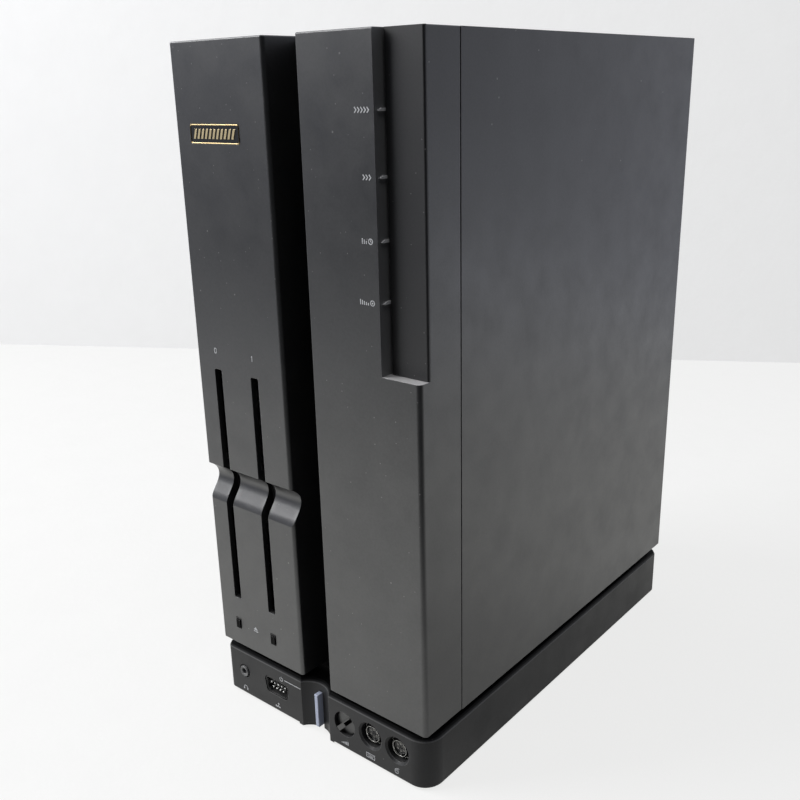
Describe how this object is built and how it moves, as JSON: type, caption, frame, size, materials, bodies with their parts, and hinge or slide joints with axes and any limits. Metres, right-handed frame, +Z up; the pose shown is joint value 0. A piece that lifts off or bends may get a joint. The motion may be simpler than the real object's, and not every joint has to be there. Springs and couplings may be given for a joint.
{
  "type": "home computer",
  "caption": "Upright home computer: twin slim towers with a gap between them on a low base with front sockets, vertical disc slots, eject buttons, volume knob, power bar and lifting handle.",
  "frame": {"origin": "on the floor under the middle of the object", "axes": "+Z up, -Y out of the front, +X to the right seen from the front"},
  "size_m": [0.152, 0.2666, 0.3672],
  "materials": {
    "tower_plastic": "fine satin moulding",
    "base_plastic": "satin moulding",
    "dark_plastic": "matt black",
    "socket_plastic": "matt black with a plated shield",
    "strip_plastic": "smoked, semi-gloss",
    "lens": "translucent pale",
    "badge": "black face, gold rim",
    "button_blue": "pale blue grey",
    "handle_plastic": "satin moulding",
    "rubber": "matt",
    "plated_steel": "zinc plated",
    "screw_steel": "black oxide",
    "circuit_board": "solder mask",
    "component_black": "matt",
    "cast_aluminium": "cast",
    "drive_steel": "pressed sheet",
    "clamp_white": "natural white"
  },
  "bodies": {
    "case": {"base_housing": "base_plastic", "base_bottom_plate": "plated_steel", "rubber_feet": "rubber", "case_screws": "screw_steel", "jack_board": "circuit_board", "phones_jack": "dark_plastic", "joystick_socket_shell": "socket_plastic", "joystick_socket_pins": "dark_plastic", "keyboard_socket": "socket_plastic", "mouse_socket": "socket_plastic", "power_switch_unit": "component_black", "volume_control": "component_black", "speaker": "component_black", "tower_frame": "dark_plastic", "left_front_bezel": "tower_plastic", "left_outer_panel": "tower_plastic", "left_inner_panel": "tower_plastic", "left_top_cover": "tower_plastic", "left_rear_panel": "plated_steel", "badge_plate": "badge", "drive_0_chassis": "cast_aluminium", "drive_0_clamp_plate": "drive_steel", "drive_0_stepper_motor": "component_black", "drive_1_chassis": "cast_aluminium", "drive_1_clamp_plate": "drive_steel", "drive_1_stepper_motor": "component_black", "hard_disk": "cast_aluminium", "power_supply": "plated_steel", "fan_frame": "dark_plastic", "ac_inlet": "dark_plastic", "main_switch_frame": "dark_plastic", "right_front_bezel": "tower_plastic", "indicator_strip": "strip_plastic", "indicator_lenses": "lens", "right_outer_panel": "tower_plastic", "right_inner_panel": "tower_plastic", "right_top_cover": "tower_plastic", "right_rear_panel": "plated_steel", "slot_covers": "plated_steel", "rear_connectors": "plated_steel", "main_board": "circuit_board", "centre_spine": "dark_plastic"},
    "power_button": {"power_button": "button_blue"},
    "volume_knob": {"volume_knob": "base_plastic"},
    "eject_button_0": {"eject_button_0": "tower_plastic"},
    "eject_button_1": {"eject_button_1": "tower_plastic"},
    "reset_button": {"reset_button": "tower_plastic"},
    "interrupt_button": {"interrupt_button": "tower_plastic"},
    "handle": {"handle": "handle_plastic"},
    "fan_rotor": {"fan_rotor": "dark_plastic"},
    "main_switch_rocker": {"main_switch_rocker": "dark_plastic"},
    "drive_0_spindle": {"drive_0_spindle": "drive_steel"},
    "drive_1_spindle": {"drive_1_spindle": "drive_steel"},
    "drive_0_head_carriage": {"drive_0_head_carriage": "cast_aluminium"},
    "drive_1_head_carriage": {"drive_1_head_carriage": "cast_aluminium"},
    "drive_0_stepper_pulley": {"drive_0_stepper_pulley": "drive_steel"},
    "drive_1_stepper_pulley": {"drive_1_stepper_pulley": "drive_steel"},
    "drive_0_clamp_hub": {"drive_0_clamp_hub": "clamp_white"},
    "drive_1_clamp_hub": {"drive_1_clamp_hub": "clamp_white"}
  },
  "joints": [
    {"name": "power_press", "type": "slide", "parent": "case", "child": "power_button", "axis": [0, 1, 0], "range_m": [0, 0.003], "stiffness_N_per_m": 500, "springref_m": -0.0005},
    {"name": "volume_turn", "type": "hinge", "parent": "case", "child": "volume_knob", "pos_m": [0.0181, -0.128, 0.0172], "axis": [0, -1, 0], "range_deg": [-180, 100]},
    {"name": "eject_0_press", "type": "slide", "parent": "case", "child": "eject_button_0", "axis": [0, 1, 0], "range_m": [0, 0.0015], "stiffness_N_per_m": 400, "springref_m": -0.0005},
    {"name": "eject_1_press", "type": "slide", "parent": "case", "child": "eject_button_1", "axis": [0, 1, 0], "range_m": [0, 0.0015], "stiffness_N_per_m": 400, "springref_m": -0.0005},
    {"name": "reset_press", "type": "slide", "parent": "case", "child": "reset_button", "axis": [0, 0, -1], "range_m": [0, 0.0015], "stiffness_N_per_m": 400, "springref_m": -0.0005},
    {"name": "interrupt_press", "type": "slide", "parent": "case", "child": "interrupt_button", "axis": [0, 0, -1], "range_m": [0, 0.0015], "stiffness_N_per_m": 400, "springref_m": -0.0005},
    {"name": "handle_lift", "type": "slide", "parent": "case", "child": "handle", "axis": [0, 0, 1], "range_m": [0, 0.045]},
    {"name": "fan_spin", "type": "hinge", "parent": "case", "child": "fan_rotor", "pos_m": [-0.04315, 0.12, 0.318], "axis": [0, 1, 0], "continuous": true},
    {"name": "main_switch_rock", "type": "hinge", "parent": "case", "child": "main_switch_rocker", "pos_m": [-0.04315, 0.1285, 0.218], "axis": [0, 0, 1], "range_deg": [-12, 0]},
    {"name": "drive_0_spin", "type": "hinge", "parent": "case", "child": "drive_0_spindle", "pos_m": [-0.0606, -0.0598, 0.13635], "axis": [1, 0, 0], "continuous": true},
    {"name": "drive_0_seek", "type": "slide", "parent": "case", "child": "drive_0_head_carriage", "axis": [0, -1, 0], "range_m": [0, 0.021]},
    {"name": "drive_0_step", "type": "hinge", "parent": "case", "child": "drive_0_stepper_pulley", "pos_m": [-0.0606, 0.0655, 0.15785], "axis": [-1, 0, 0], "range_deg": [0, 151]},
    {"name": "drive_0_clamp", "type": "slide", "parent": "case", "child": "drive_0_clamp_hub", "axis": [-1, 0, 0], "range_m": [0, 0.004]},
    {"name": "drive_1_spin", "type": "hinge", "parent": "case", "child": "drive_1_spindle", "pos_m": [-0.0324, -0.0598, 0.13635], "axis": [1, 0, 0], "continuous": true},
    {"name": "drive_1_seek", "type": "slide", "parent": "case", "child": "drive_1_head_carriage", "axis": [0, -1, 0], "range_m": [0, 0.021]},
    {"name": "drive_1_step", "type": "hinge", "parent": "case", "child": "drive_1_stepper_pulley", "pos_m": [-0.0324, 0.0655, 0.15785], "axis": [-1, 0, 0], "range_deg": [0, 151]},
    {"name": "drive_1_clamp", "type": "slide", "parent": "case", "child": "drive_1_clamp_hub", "axis": [-1, 0, 0], "range_m": [0, 0.004]}
  ],
  "couplings": [
    {"joint": "drive_0_step", "follows": "drive_0_seek", "rad_per_m": 125},
    {"joint": "drive_1_step", "follows": "drive_1_seek", "rad_per_m": 125}
  ]
}
